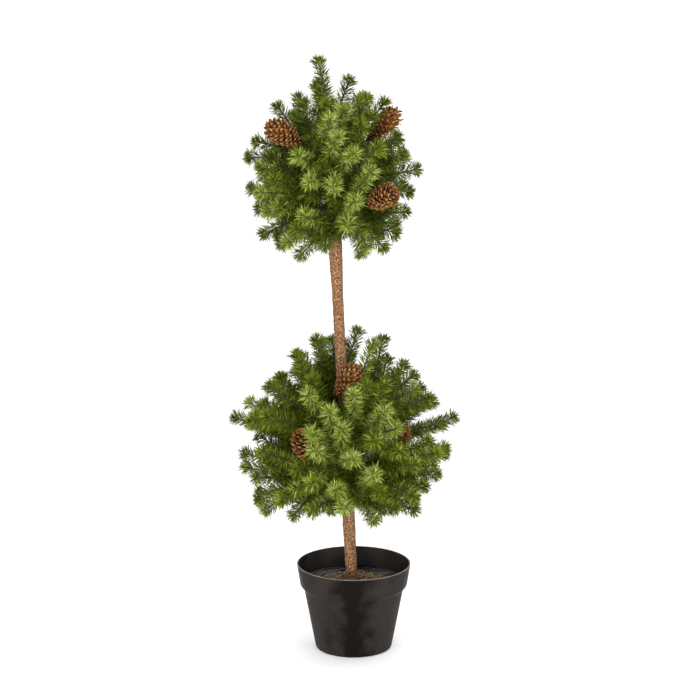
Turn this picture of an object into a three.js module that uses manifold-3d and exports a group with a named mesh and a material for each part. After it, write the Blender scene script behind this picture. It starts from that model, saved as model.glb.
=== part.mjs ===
// Potted double topiary of artificial pine: a black plastic pot with its fill, a trunk that leans a
// little, two balls of needle sprays wired to the trunk, and pine cones on wire stalks among them.
// Millimetres, +Z up. The origin is the centre of the pot's underside, and the front faces -Y.
import * as THREE from "three";
import { mergeVertices } from "three/addons/utils/BufferGeometryUtils.js";
import Module from "manifold-3d";

const wasm = await Module();
wasm.setup();

// Clearance that touching pieces keep, and the least detail that a fused mass keeps
const GAP = 0.3;
const SLIVER = 0.05;

// Pot: a tapered body under a deep collar
const POT = {
  rimRadius: 87.5,
  height: 134,
  collarFoot: 101,
  collarFootRadius: 82.5,
  bodyTop: 93.5,
  bodyTopRadius: 76.5,
  baseRadius: 59.5,
  baseRound: 5,
  baseEdge: 1.5,
  lipOutside: 1,
  lipInside: 0.6,
  wall: 2.4,
  floor: 3,
  sides: 32,
};

// Fill: stands below the rim and heaps a little round the trunk
const FILL = { level: 104, heap: 3, heapRadius: 45, padRadius: 15, ease: 0.4, sides: 30 };

// Trunk: stations of height and radius, thicker where it enters each ball
const TRUNK = {
  foot: [-3, 0, FILL.level + FILL.heap + GAP],
  leanDegrees: 2.73,
  sides: 14,
  stations: [
    [FILL.level + FILL.heap + GAP, 11.5],
    [113, 9.2],
    [150, 8.8],
    [190, 9.8],
    [230, 9.6],
    [360, 8.8],
    [430, 8.4],
    [560, 8.4],
    [600, 9.9],
    [625, 10.5],
    [690, 9.3],
    [785, 6.5],
  ],
};

// Stems: one for each mass, spaced round the trunk by the golden angle. A stem's length ends at its fork.
const STEM = { rootRadius: 3.8, forkRadius: 3, sides: 5 };

// Sprays: a slim twig with needles swept forward
const TWIG = {
  rootRadius: 2.3,
  tipRadius: 1.1,
  spans: 3,
  sides: 3,
  spacing: 6.5,
  room: 1,
  rootShare: 0.75,
  rootSpread: 0.2,
};
const NEEDLE = {
  length: 24,
  girth: 2,
  sweepDegrees: 52,
  spread: 0.15,
  room: 1.2,
  shortest: 0.4,
  shrink: 0.2,
  behind: 0.35,
  ahead: 0.65,
  endShare: 0.5,
};

// Two balls: from and to bound the elevation of the sprays' tips, seen from the ball's centre, tall
// stretches the ball upright, shoulder draws it in between waist and top, and flat is the height that no
// tip goes much below. Set sprays face the front or stand on the outline: how far across and up from the
// ball's centre each tip is, as seen from the front at the elevation sight. Each cone has its foot and tip,
// from the ball's centre. No other spray has its tip within TIP_ROOM of the tip of a set one.
const TIP_ROOM = 30;
const GOLDEN_DEGREES = 137.508;
const JITTER = { degrees: 6, reach: 0.08, bend: 8, lift: 4 };
const SEED_STEP = { roots: 50, needles: 101 };
const BALLS = [
  {
    name: "lower",
    centre: 335,
    reach: 155,
    shoulder: 0.12,
    tall: 1,
    sprays: 104,
    from: -48,
    to: 77,
    flat: 226,
    turn: 10,
    seed: 4984,
    sight: 14,
    stems: { count: 16, length: 34, rootFrom: 240, rootTo: 352, riseFrom: -6, riseTo: 62 },
    crowned: false,
    set: [
      [-166, 28], [165, 28], [13, 62], [-21, 36], [-3, 10], [13, -32], [-14, -78], [-2, -105],
      [-47, 4], [-44, -21], [44, -54], [75, 11], [60, 37], [-53, 61], [-48, -68], [-42, 147],
      [20, 160], [58, 147], [88, 106], [123, 56], [150, -26], [138, -58], [106, -110],
      [74, -108], [-76, -118], [-130, -98], [-132, -62], [-150, -26], [-112, 74], [-72, 122],
    ],
    cones: [
      [[-12, -33, 66], [19, -36, 118]],
      [[-56, -60, -22], [-64, -92, 29]],
      [[44, -18, 2], [97, -42, 16]],
      [[44, 71, 32], [68, 121, 60]],
      [[-44, 84, -6], [-66, 140, 6]],
      [[58, 58, -38], [92, 98, -44]],
    ],
  },
  {
    name: "upper",
    centre: 735,
    reach: 116,
    shoulder: 0,
    tall: 1.08,
    sprays: 92,
    from: -56,
    to: 82,
    flat: 616,
    turn: 251,
    seed: 9457,
    sight: 7,
    stems: { count: 12, length: 28, rootFrom: 668, rootTo: 756, riseFrom: -26, riseTo: 48 },
    crowned: true,
    set: [
      [26, 139], [4, -17], [-31, -10], [-39, -59], [23, -73], [35, -38], [57, 4], [33, 31],
      [-49, 27], [49, 114], [79, 106], [126, 8], [115, -26], [109, -55], [95, -87], [78, -108],
      [45, -117], [-47, -120], [-75, -104], [-101, -88], [-108, -50], [-119, -20], [-122, 26],
      [-80, 100], [-40, 103], [-10, -104], [96, 56],
    ],
    cones: [
      [[-44, -30, 50], [-94, -52, 79]],
      [[52, 18, 49], [100, 20, 94]],
      [[53, -49, -39], [93, -79, -14]],
      [[22, 62, 14], [38, 118, 32]],
      [[-40, 58, -20], [-70, 108, -30]],
    ],
  },
];

// Crown: a stem on the tip of the trunk, with a leader that overtops the upper ball
const CROWN = { stem: 22, leaderRoot: 0.6, leaderTip: [-52, -4, 902], leaderBend: [3, 0, 0] };

// Cones: an egg of scales with its blunt end outwards, on a wire stalk that leaves the trunk a share of the
// way from the ball's centre to the cone. The widths are where its foot and end lie on half a turn of a sine.
const CONE = {
  radius: 16.5,
  sides: 7,
  spans: 5,
  footWidth: 0.93,
  tipWidth: 0.2,
  swell: 0.8,
  scaleRise: 3.2,
  stalkRadius: 1.4,
  stalkSunk: 5,
  stalkShare: 0.6,
  stalkRoom: 1,
  stalkSearch: 40,
};

const FINISHES = {
  pot: { color: 0x24211f, roughness: 0.55, metalness: 0 },
  fill: { color: 0x5b4028, roughness: 0.95, metalness: 0 },
  trunk: { color: 0xa9764a, roughness: 0.95, metalness: 0 },
  needles: { color: 0x5d7a35, roughness: 0.6, metalness: 0 },
  cone: { color: 0x8a4f2a, roughness: 0.8, metalness: 0 },
};

const { degToRad, radToDeg, lerp, clamp, mapLinear } = THREE.MathUtils;
const UP = new THREE.Vector3(0, 0, 1);
const vector = (list) => new THREE.Vector3(...list);

// Seeded numbers from -1 to 1, the same on every run
function seeded(seed) {
  let state = (seed * 7919 + 104729) % 2147483647;
  return () => {
    state = (state * 16807) % 2147483647;
    return (2 * state) / 2147483647 - 1;
  };
}

// The unit vector at an azimuth and elevation in degrees
function toward(azimuth, elevation) {
  const flat = Math.cos(degToRad(elevation));
  const [x, y] = [flat * Math.cos(degToRad(azimuth)), flat * Math.sin(degToRad(azimuth))];
  return new THREE.Vector3(x, y, Math.sin(degToRad(elevation)));
}

// The trunk's axis at a height
function trunkAt(z) {
  const [x, y, foot] = TRUNK.foot;
  return new THREE.Vector3(x - (z - foot) * Math.tan(degToRad(TRUNK.leanDegrees)), y, z);
}

const TRUNK_AXIS = trunkAt(1).sub(trunkAt(0)).normalize();
const TRUNK_TOP = TRUNK.stations.at(-1)[0];

// The trunk's radius at a height, straight between its stations
function trunkRadius(z) {
  const next = TRUNK.stations.findIndex(([height]) => height >= z);
  if (next <= 0) return TRUNK.stations.at(next)[1];
  const [[lowZ, lowR], [highZ, highR]] = TRUNK.stations.slice(next - 1, next + 1);
  return mapLinear(z, lowZ, highZ, lowR, highR);
}

// A ring of points square to a direction
function ring(centre, direction, radius, sides, turn) {
  const side = new THREE.Vector3(0, 1, 0).cross(direction);
  if (side.length() < 0.1) side.crossVectors(UP, direction);
  side.normalize();
  const other = new THREE.Vector3().crossVectors(direction, side);
  return Array.from({ length: sides }, (_, i) => {
    const angle = turn + (i * 2 * Math.PI) / sides;
    const point = centre.clone().addScaledVector(side, radius * Math.cos(angle));
    return point.addScaledVector(other, radius * Math.sin(angle));
  });
}

function middleOf(corners) {
  return corners.reduce((sum, corner) => sum.add(corner), new THREE.Vector3()).divideScalar(corners.length);
}

// A closed tube through rings that each turn half a step on the last. raise() may give a point to
// stand out of a face, and tip a point beyond the last ring.
function tube(rings, raise = () => null, tip = null) {
  const sides = rings[0].length;
  const points = rings.flat();
  const faces = [];
  const cell = (a, b, c, span, wideAhead) => {
    const point = raise([points[a], points[b], points[c]], span, wideAhead);
    if (!point) return faces.push(a, b, c);
    const d = points.push(point) - 1;
    return faces.push(a, b, d, b, c, d, c, a, d);
  };
  for (let i = 0; i + 1 < rings.length; i++) {
    for (let j = 0; j < sides; j++) {
      const next = (j + 1) % sides;
      const [a, b] = [i * sides + j, i * sides + next];
      const [c, d] = [a + sides, b + sides];
      cell(a, b, c, i, false);
      cell(b, d, c, i, true);
    }
  }
  const last = (rings.length - 1) * sides;
  const end = tip ? points.push(tip) - 1 : last;
  for (let j = 0; j < sides; j++) {
    const next = (j + 1) % sides;
    if (tip || (j > 0 && next > 0)) faces.push(last + j, last + next, end);
    if (j > 0 && next > 0) faces.push(0, next, j);
  }
  return new THREE.BufferGeometry().setFromPoints(points).setIndex(faces);
}

// A straight tapering limb
function limb(start, end, startRadius, endRadius) {
  const direction = end.clone().sub(start).normalize();
  const first = ring(start, direction, startRadius, STEM.sides, 0);
  return tube([first, ring(end, direction, endRadius, STEM.sides, Math.PI / STEM.sides)]);
}

// A solid of revolution round Z
function turned(profile, sides) {
  const outline = profile.map(([radius, z]) => new THREE.Vector2(radius, z));
  return new THREE.LatheGeometry(outline, sides).rotateX(Math.PI / 2);
}

function toSolid(geometry) {
  const merged = mergeVertices(geometry);
  const vertProperties = merged.attributes.position.array;
  const triVerts = new Uint32Array(merged.index.array);
  return new wasm.Manifold(new wasm.Mesh({ numProp: 3, vertProperties, triVerts }));
}

// The solid's surface, with corners that lie nearer than a sliver joined and the faces between them dropped
function toGeometry(solid) {
  const { vertProperties, triVerts } = solid.getMesh();
  const corner = (i) => new THREE.Vector3().fromArray(vertProperties, 3 * i);
  const joined = Array.from({ length: vertProperties.length / 3 }, (_, i) => i);
  const home = (i) => (joined[i] === i ? i : home(joined[i]));
  const faces = [];
  for (let i = 0; i < triVerts.length; i += 3) {
    const face = [triVerts[i], triVerts[i + 1], triVerts[i + 2]];
    faces.push(face);
    face.forEach((a, k) => {
      const b = face[(k + 1) % 3];
      if (corner(a).distanceTo(corner(b)) < SLIVER) joined[home(a)] = home(b);
    });
  }
  const kept = faces.map((face) => face.map(home)).filter(([a, b, c]) => a !== b && b !== c && c !== a);
  const geometry = new THREE.BufferGeometry();
  geometry.setAttribute("position", new THREE.BufferAttribute(vertProperties, 3));
  return geometry.setIndex(kept.flat());
}

// The least distance between two straight segments
function segmentDistance([a, b], [c, d]) {
  const u = b.clone().sub(a);
  const v = d.clone().sub(c);
  const w = a.clone().sub(c);
  const [uu, uv, vv, uw, vw] = [u.dot(u), u.dot(v), v.dot(v), u.dot(w), v.dot(w)];
  const bottom = uu * vv - uv * uv;
  let s = bottom > 1e-9 ? clamp((uv * vw - vv * uw) / bottom, 0, 1) : 0;
  const t = clamp((uv * s + vw) / vv, 0, 1);
  s = clamp((uv * t - uw) / uu, 0, 1);
  return a.clone().addScaledVector(u, s).distanceTo(c.clone().addScaledVector(v, t));
}

const axisLine = new THREE.Line3();
const nearest = new THREE.Vector3();

// The least distance from a point to a path of points
function pathDistance(point, path) {
  let least = Infinity;
  for (let i = 0; i + 1 < path.length; i++) {
    axisLine.set(path[i], path[i + 1]).closestPointToPoint(point, true, nearest);
    least = Math.min(least, point.distanceTo(nearest));
  }
  return least;
}

// Where a limb of some radius leaves the trunk, clear of its surface
function leaveTrunk(z, direction, radius) {
  const flat = new THREE.Vector3(direction.x, direction.y, 0).normalize();
  return trunkAt(z).addScaledVector(flat, trunkRadius(z) + GAP + radius * Math.abs(direction.z));
}

// The stems of a ball, each with the point on the ball's outline that it aims at
function stemsOf(ball) {
  const { count, length, rootFrom, rootTo, riseFrom, riseTo } = ball.stems;
  return Array.from({ length: count }, (_, i) => {
    const share = i / (count - 1);
    const azimuth = ball.turn + i * GOLDEN_DEGREES;
    const sine = lerp(Math.sin(degToRad(ball.from)), Math.sin(degToRad(ball.to)), (i + 0.5) / count);
    const direction = toward(azimuth, lerp(riseFrom, riseTo, share));
    const root = leaveTrunk(lerp(rootFrom, rootTo, share), direction, STEM.rootRadius);
    const fork = root.clone().addScaledVector(direction, length);
    const aim = toward(azimuth, radToDeg(Math.asin(sine)));
    return { name: `${ball.name}_mass_${i + 1}`, root, fork, aim };
  });
}

// The stem on the trunk's tip, and the leader that it carries
function crownStem(ball) {
  const root = trunkAt(TRUNK_TOP + GAP);
  const fork = root.clone().addScaledVector(TRUNK_AXIS, CROWN.stem);
  return { name: `${ball.name}_crown`, root, fork, aim: UP };
}

function leaderOf(crown) {
  const root = crown.root.clone().lerp(crown.fork, CROWN.leaderRoot);
  return { stem: crown, root, tip: vector(CROWN.leaderTip), bend: vector(CROWN.leaderBend) };
}

// The stem that aims nearest to a direction
function stemToward(stems, direction) {
  return stems.reduce((best, one) => (one.aim.dot(direction) > best.aim.dot(direction) ? one : best));
}

// The set sprays of a ball, on the side of the ball that the sight meets first
function setSprays(ball, stems) {
  const swing = seeded(ball.seed + SEED_STEP.roots);
  const centre = trunkAt(ball.centre);
  const near = toward(-90, ball.sight);
  const high = toward(90, 90 - ball.sight);
  return ball.set.map(([across, up]) => {
    const depth = Math.sqrt(Math.max(0, ball.reach ** 2 - across ** 2 - up ** 2));
    const shift = new THREE.Vector3(across, 0, 0).addScaledVector(high, up).addScaledVector(near, depth);
    const stem = stemToward(stems, shift.clone().normalize());
    const root = stem.root.clone().lerp(stem.fork, TWIG.rootShare + TWIG.rootSpread * swing());
    return { stem, root, tip: centre.clone().add(shift), bend: new THREE.Vector3() };
  });
}

// The other sprays of a ball, over its outline by the golden angle, each from the stem that aims nearest
function spreadSprays(ball, stems) {
  const swing = seeded(ball.seed);
  const [low, high] = [Math.sin(degToRad(ball.from)), Math.sin(degToRad(ball.to))];
  return Array.from({ length: ball.sprays }, (_, i) => {
    const level = radToDeg(Math.asin(lerp(low, high, (i + 0.5) / ball.sprays)));
    const elevation = level + JITTER.degrees * swing();
    const azimuth = ball.turn + i * GOLDEN_DEGREES + (JITTER.degrees * swing()) / Math.cos(degToRad(level));
    const dip = level > 0 ? ball.shoulder * Math.sin(2 * degToRad(level)) ** 2 : 0;
    const reach = ball.reach * (1 - dip) * (1 + JITTER.reach * swing());
    const direction = toward(azimuth, elevation);
    const stem = stemToward(stems, direction);
    const tip = trunkAt(ball.centre).addScaledVector(direction, reach);
    tip.z = Math.max(ball.centre + ball.tall * reach * direction.z, ball.flat + JITTER.bend * swing());
    const root = stem.root.clone().lerp(stem.fork, TWIG.rootShare + TWIG.rootSpread * swing());
    const bend = toward(azimuth + 90, 0).multiplyScalar(JITTER.bend * swing());
    bend.z = JITTER.lift * swing();
    return { stem, root, tip, bend };
  });
}

// Every spray of a ball, with none of the spread ones near the tip of a set one
function spraysOf(ball, stems) {
  const set = setSprays(ball, stems);
  const roomy = ({ tip }) => set.every((other) => other.tip.distanceTo(tip) > TIP_ROOM);
  return [...set, ...spreadSprays(ball, stems).filter(roomy)];
}

// A point on a spray's twig, and the way the twig runs there
function twigAt({ root, tip, bend }, t) {
  return root.clone().lerp(tip, t).addScaledVector(bend, 4 * t * (1 - t));
}

function twigRun({ root, tip, bend }, t) {
  return tip.clone().sub(root).addScaledVector(bend, 4 * (1 - 2 * t)).normalize();
}

function twigPath(spray) {
  return Array.from({ length: TWIG.spans + 1 }, (_, i) => twigAt(spray, i / TWIG.spans));
}

// A cone's foot and tip, and a stalk that leaves the trunk at the nearest height clear of every stem
function coneLimbs(ball, [footShift, tipShift], stems) {
  const centre = trunkAt(ball.centre);
  const foot = centre.clone().add(vector(footShift));
  const tip = centre.clone().add(vector(tipShift));
  const room = STEM.rootRadius + CONE.stalkRadius + CONE.stalkRoom;
  for (let step = 0; step < 2 * CONE.stalkSearch; step++) {
    const height = lerp(centre.z, foot.z, CONE.stalkShare) + (step % 2 ? 1 : -1) * Math.ceil(step / 2);
    const root = leaveTrunk(height, foot.clone().sub(trunkAt(height)).normalize(), CONE.stalkRadius);
    if (stems.every((stem) => segmentDistance([root, foot], [stem.root, stem.fork]) > room)) {
      return { root, foot, tip };
    }
  }
  throw new Error(`no clear stalk for the cone at ${footShift}`);
}

// Whether a straight twig or needle keeps clear of the trunk, the cones and their stalks
function keepsClear(start, end, radius, cones) {
  const trunkRoom = trunkRadius(Math.min(start.z, end.z)) + radius + GAP;
  const trunkLine = [trunkAt(TRUNK.foot[2]), trunkAt(TRUNK_TOP)];
  if (segmentDistance([start, end], trunkLine) < trunkRoom) return false;
  const coneRoom = CONE.radius + CONE.scaleRise + radius + GAP;
  const stalkRoom = CONE.stalkRadius + radius + GAP;
  return cones.every(
    ({ root, foot, tip }) =>
      segmentDistance([start, end], [foot, tip]) > coneRoom &&
      segmentDistance([start, end], [root, foot]) > stalkRoom,
  );
}

// The sprays that fit: clear of the trunk and cones, of other masses' stems and of the sprays before them
function thatFit(sprays, stems, cones) {
  const kept = [];
  for (const spray of sprays) {
    const path = twigPath(spray);
    const girth = TWIG.rootRadius + TWIG.room;
    const clear = path.slice(1).every((point, i) => keepsClear(path[i], point, girth, cones));
    const otherStems = stems.filter((stem) => stem !== spray.stem).map(({ root, fork }) => [root, fork]);
    const rivals = kept.filter((other) => other.stem !== spray.stem).map((other) => other.path);
    const apart = [...otherStems, ...rivals].every((other) =>
      path.every((point) => pathDistance(point, other) > TWIG.spacing),
    );
    if (clear && apart) kept.push({ ...spray, path });
  }
  return kept;
}

// A spray of needles: a twig with needles raised on its faces, each cut short where a full one would
// cross to a neighbour, a stem, a cone or the trunk
function spraySolid(spray, neighbours, cones, swing) {
  const rings = spray.path.map((centre, i) => {
    const t = i / TWIG.spans;
    const radius = lerp(TWIG.rootRadius, TWIG.tipRadius, t);
    return ring(centre, twigRun(spray, t), radius, TWIG.sides, (i * Math.PI) / TWIG.sides);
  });
  const fits = (base, point) =>
    keepsClear(base, point, NEEDLE.girth, cones) &&
    neighbours.every((path) => pathDistance(point, path) > pathDistance(point, spray.path) + NEEDLE.room);
  const needle = (base, t, out) => {
    const full = NEEDLE.length * (1 + NEEDLE.spread * swing());
    const lean = degToRad(NEEDLE.sweepDegrees);
    for (let size = 1; size >= NEEDLE.shortest; size -= NEEDLE.shrink) {
      const point = twigAt(spray, t).addScaledVector(out, size * full * Math.sin(lean));
      point.addScaledVector(twigRun(spray, t), size * full * Math.cos(lean));
      if (fits(base, point)) return point;
    }
    return null;
  };
  const raise = (corners, span, wideAhead) => {
    if (span === 0 && !wideAhead) return null;
    const t = (span + (wideAhead ? NEEDLE.ahead : NEEDLE.behind)) / TWIG.spans;
    const base = middleOf(corners);
    const run = twigRun(spray, t);
    const out = base.clone().sub(twigAt(spray, t));
    return needle(base, t, out.addScaledVector(run, -out.dot(run)).normalize());
  };
  const end = spray.tip.clone().addScaledVector(twigRun(spray, 1), NEEDLE.endShare * NEEDLE.length);
  return toSolid(tube(rings, raise, fits(spray.tip, end) ? end : null));
}

// Every mass of a ball: a stem with its sprays fused on, and no bubble shut in between their needles
function massesOf(ball, stems, sprays, cones) {
  const swing = seeded(ball.seed + SEED_STEP.needles);
  return stems.map((stem) => {
    const stemSolid = toSolid(limb(stem.root, stem.fork, STEM.rootRadius, STEM.forkRadius));
    const others = stems.filter((other) => other !== stem).map(({ root, fork }) => [root, fork]);
    const own = sprays.filter((spray) => spray.stem === stem);
    const solid = own.reduce((sum, spray) => {
      const rivals = sprays.filter((other) => other !== spray).map(({ path }) => path);
      return sum.add(spraySolid(spray, [...others, ...rivals], cones, swing));
    }, stemSolid);
    const [shell] = solid.decompose().sort((a, b) => b.volume() - a.volume());
    return { name: stem.name, solid: shell };
  });
}

// An egg of scales on a wire stalk
function coneSolid({ root, foot, tip }) {
  const axis = tip.clone().sub(foot).normalize();
  const rings = Array.from({ length: CONE.spans + 1 }, (_, i) => {
    const t = i / CONE.spans;
    const fat = Math.sin(Math.PI * lerp(CONE.tipWidth, CONE.footWidth, (1 - t) ** CONE.swell));
    return ring(foot.clone().lerp(tip, t), axis, CONE.radius * fat, CONE.sides, (i * Math.PI) / CONE.sides);
  });
  const raise = (corners, span, wideAhead) => {
    if (wideAhead) return null;
    const base = middleOf(corners);
    const out = base.clone().sub(foot);
    out.addScaledVector(axis, -out.dot(axis)).normalize();
    return base.addScaledVector(out, CONE.scaleRise).addScaledVector(axis, CONE.scaleRise);
  };
  const stalkRun = foot.clone().sub(root).normalize();
  const stalkEnd = foot.clone().addScaledVector(stalkRun, CONE.stalkSunk);
  const stalk = limb(root, stalkEnd, CONE.stalkRadius, CONE.stalkRadius);
  return toSolid(tube(rings, raise)).add(toSolid(stalk));
}

// The pot's wall from the outside of its base, over the rim and down to the inside of its floor
function pot() {
  const { wall, floor, baseRound, baseEdge } = POT;
  const profile = [
    [0, 0],
    [POT.baseRadius - baseRound, 0],
    [POT.baseRadius - baseEdge, baseEdge],
    [POT.baseRadius, baseRound],
    [POT.bodyTopRadius, POT.bodyTop],
    [POT.collarFootRadius, POT.collarFoot],
    [POT.rimRadius, POT.height - POT.lipOutside],
    [POT.rimRadius - POT.lipOutside, POT.height],
    [POT.rimRadius - wall + POT.lipInside, POT.height],
    [POT.rimRadius - wall, POT.height - POT.lipInside],
    [POT.collarFootRadius - wall, POT.collarFoot],
    [POT.bodyTopRadius - wall, POT.bodyTop],
    [POT.baseRadius - wall, baseRound + floor],
    [POT.baseRadius - wall - baseRound, floor],
    [0, floor],
  ];
  return turned(profile, POT.sides);
}

// The fill follows the pot's inside and heaps towards the trunk
function fill() {
  const clear = POT.wall + GAP + FILL.ease;
  const share = (FILL.level - POT.collarFoot) / (POT.height - POT.collarFoot);
  const levelRadius = lerp(POT.collarFootRadius, POT.rimRadius, share);
  const profile = [
    [0, POT.floor + GAP],
    [POT.baseRadius - clear - POT.baseRound, POT.floor + GAP],
    [POT.baseRadius - clear, POT.baseRound + POT.floor + GAP],
    [POT.bodyTopRadius - clear, POT.bodyTop],
    [POT.collarFootRadius - clear, POT.collarFoot],
    [levelRadius - clear, FILL.level],
    [FILL.heapRadius, FILL.level],
    [FILL.padRadius, FILL.level + FILL.heap],
    [0, FILL.level + FILL.heap],
  ];
  return turned(profile, FILL.sides);
}

// The trunk from a level cut on the fill to its tip in the upper ball
function trunk() {
  const rings = TRUNK.stations.map(([z, radius], i) => {
    const turn = (i * Math.PI) / TRUNK.sides;
    return ring(trunkAt(z), i === 0 ? UP : TRUNK_AXIS, radius, TRUNK.sides, turn);
  });
  return tube(rings);
}

function addPart(parent, name, geometry, finish) {
  const mesh = new THREE.Mesh(geometry, new THREE.MeshStandardMaterial(finish));
  mesh.name = name;
  parent.add(mesh);
}

// A ball's masses and cones
function ballGroup(ball) {
  const group = new THREE.Group();
  const stems = stemsOf(ball);
  const sprays = [];
  if (ball.crowned) {
    const crown = crownStem(ball);
    stems.push(crown);
    sprays.push(leaderOf(crown));
  }
  const cones = ball.cones.map((one) => coneLimbs(ball, one, stems));
  sprays.push(...spraysOf(ball, stems));
  const kept = thatFit(sprays, stems, cones);
  for (const { name, solid } of massesOf(ball, stems, kept, cones)) {
    addPart(group, name, toGeometry(solid), FINISHES.needles);
  }
  cones.forEach((one, i) => {
    addPart(group, `${ball.name}_cone_${i + 1}`, toGeometry(coneSolid(one)), FINISHES.cone);
  });
  return group;
}

const topiary = new THREE.Group();
topiary.name = "potted_double_topiary";
addPart(topiary, "pot", pot(), FINISHES.pot);
addPart(topiary, "fill", fill(), FINISHES.fill);
addPart(topiary, "trunk", trunk(), FINISHES.trunk);
topiary.add(...BALLS.map(ballGroup));

export default topiary;
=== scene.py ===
"""Looks of the potted double topiary of artificial pine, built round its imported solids.

Sizes are millimetres, as in the part's source, and each mesh is scaled to metres when it is made.
"""

import math

import bpy
import numpy as np
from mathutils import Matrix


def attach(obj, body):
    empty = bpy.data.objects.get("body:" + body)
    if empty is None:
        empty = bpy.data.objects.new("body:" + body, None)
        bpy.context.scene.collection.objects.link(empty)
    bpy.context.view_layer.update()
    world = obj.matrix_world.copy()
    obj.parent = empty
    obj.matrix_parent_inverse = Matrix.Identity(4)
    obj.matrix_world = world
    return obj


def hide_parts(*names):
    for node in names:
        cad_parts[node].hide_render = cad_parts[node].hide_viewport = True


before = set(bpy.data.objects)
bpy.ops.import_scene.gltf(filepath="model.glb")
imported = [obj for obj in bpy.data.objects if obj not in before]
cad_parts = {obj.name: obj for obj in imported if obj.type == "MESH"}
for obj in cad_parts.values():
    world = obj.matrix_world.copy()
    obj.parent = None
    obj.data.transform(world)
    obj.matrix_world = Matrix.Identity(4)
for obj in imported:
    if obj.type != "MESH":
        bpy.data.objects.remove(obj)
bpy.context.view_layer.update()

METRE = 0.001
BODY = "root"
UP = np.array([0.0, 0.0, 1.0])
GOLDEN = 137.508

# The part's own sizes, with this scene's counts of rings and sides
GAP = 0.3
POT = {
    "rim_radius": 87.5,
    "height": 134,
    "collar_foot": 101,
    "collar_foot_radius": 82.5,
    "body_top": 93.5,
    "body_top_radius": 76.5,
    "base_radius": 59.5,
    "base_round": 5,
    "wall": 2.4,
    "floor": 3,
    "sides": 128,
}
FILL = {"level": 104, "heap": 3, "heap_radius": 45, "pad_radius": 15, "sides": 96}
TRUNK_FOOT = np.array([-3.0, 0.0, FILL["level"] + FILL["heap"] + GAP])
TRUNK_LEAN = math.tan(math.radians(2.73))
TRUNK_HEIGHTS = [TRUNK_FOOT[2], 113, 150, 190, 230, 360, 430, 560, 600, 625, 690, 785]
TRUNK_RADII = [11.5, 9.2, 8.8, 9.8, 9.6, 8.8, 8.4, 8.4, 9.9, 10.5, 9.3, 6.5]
STEM = {"root_radius": 3.8, "fork_radius": 3.0, "rings": 4, "sides": 8}
TWIG = {
    "root_radius": 2.3,
    "tip_radius": 1.1,
    "spans": 3,
    "spacing": 6.5,
    "root_share": 0.75,
    "root_spread": 0.2,
    "room": 1,
    "rings": 7,
    "sides": 6,
}
TIP_ROOM = 30
JITTER = {"degrees": 6, "reach": 0.08, "bend": 8, "lift": 4}
SEED_STEP = {"roots": 50, "infill": 1}
CONE = {
    "radius": 16.5,
    "widths": (0.2, 0.93),
    "swell": 0.8,
    "scale_rise": 3.2,
    "stalk_radius": 1.4,
    "stalk_sunk": 5,
    "stalk_share": 0.6,
    "stalk_room": 1,
    "stalk_search": 40,
    "stalk_rings": 5,
    "stalk_sides": 8,
}
CROWN = {"stem": 22, "leader_root": 0.6, "leader_tip": (-52, -4, 902), "leader_bend": (3, 0, 0)}
BALLS = [
    {
        "name": "lower",
        "centre": 335,
        "reach": 155,
        "shoulder": 0.12,
        "tall": 1,
        "sprays": 104,
        "elevations": (-48, 77),
        "flat": 226,
        "turn": 10,
        "seed": 4984,
        "sight": 14,
        "stems": {"count": 16, "length": 34, "roots": (240, 352), "rises": (-6, 62)},
        "crowned": False,
        "set": [
            (-166, 28), (165, 28), (13, 62), (-21, 36), (-3, 10), (13, -32), (-14, -78), (-2, -105),
            (-47, 4), (-44, -21), (44, -54), (75, 11), (60, 37), (-53, 61), (-48, -68), (-42, 147),
            (20, 160), (58, 147), (88, 106), (123, 56), (150, -26), (138, -58), (106, -110),
            (74, -108), (-76, -118), (-130, -98), (-132, -62), (-150, -26), (-112, 74), (-72, 122),
        ],
        "cones": [
            [(-12, -33, 66), (19, -36, 118)],
            [(-56, -60, -22), (-64, -92, 29)],
            [(44, -18, 2), (97, -42, 16)],
            [(44, 71, 32), (68, 121, 60)],
            [(-44, 84, -6), (-66, 140, 6)],
            [(58, 58, -38), (92, 98, -44)],
        ],
    },
    {
        "name": "upper",
        "centre": 735,
        "reach": 116,
        "shoulder": 0,
        "tall": 1.08,
        "sprays": 92,
        "elevations": (-56, 82),
        "flat": 616,
        "turn": 251,
        "seed": 9457,
        "sight": 7,
        "stems": {"count": 12, "length": 28, "roots": (668, 756), "rises": (-26, 48)},
        "crowned": True,
        "set": [
            (26, 139), (4, -17), (-31, -10), (-39, -59), (23, -73), (35, -38), (57, 4), (33, 31),
            (-49, 27), (49, 114), (79, 106), (126, 8), (115, -26), (109, -55), (95, -87), (78, -108),
            (45, -117), (-47, -120), (-75, -104), (-101, -88), (-108, -50), (-119, -20), (-122, 26),
            (-80, 100), (-40, 103), (-10, -104), (96, 56),
        ],
        "cones": [
            [(-44, -30, 50), (-94, -52, 79)],
            [(52, 18, 49), (100, 20, 94)],
            [(53, -49, -39), (93, -79, -14)],
            [(22, 62, 14), (38, 118, 32)],
            [(-40, 58, -20), (-70, 108, -30)],
        ],
    },
]

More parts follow.
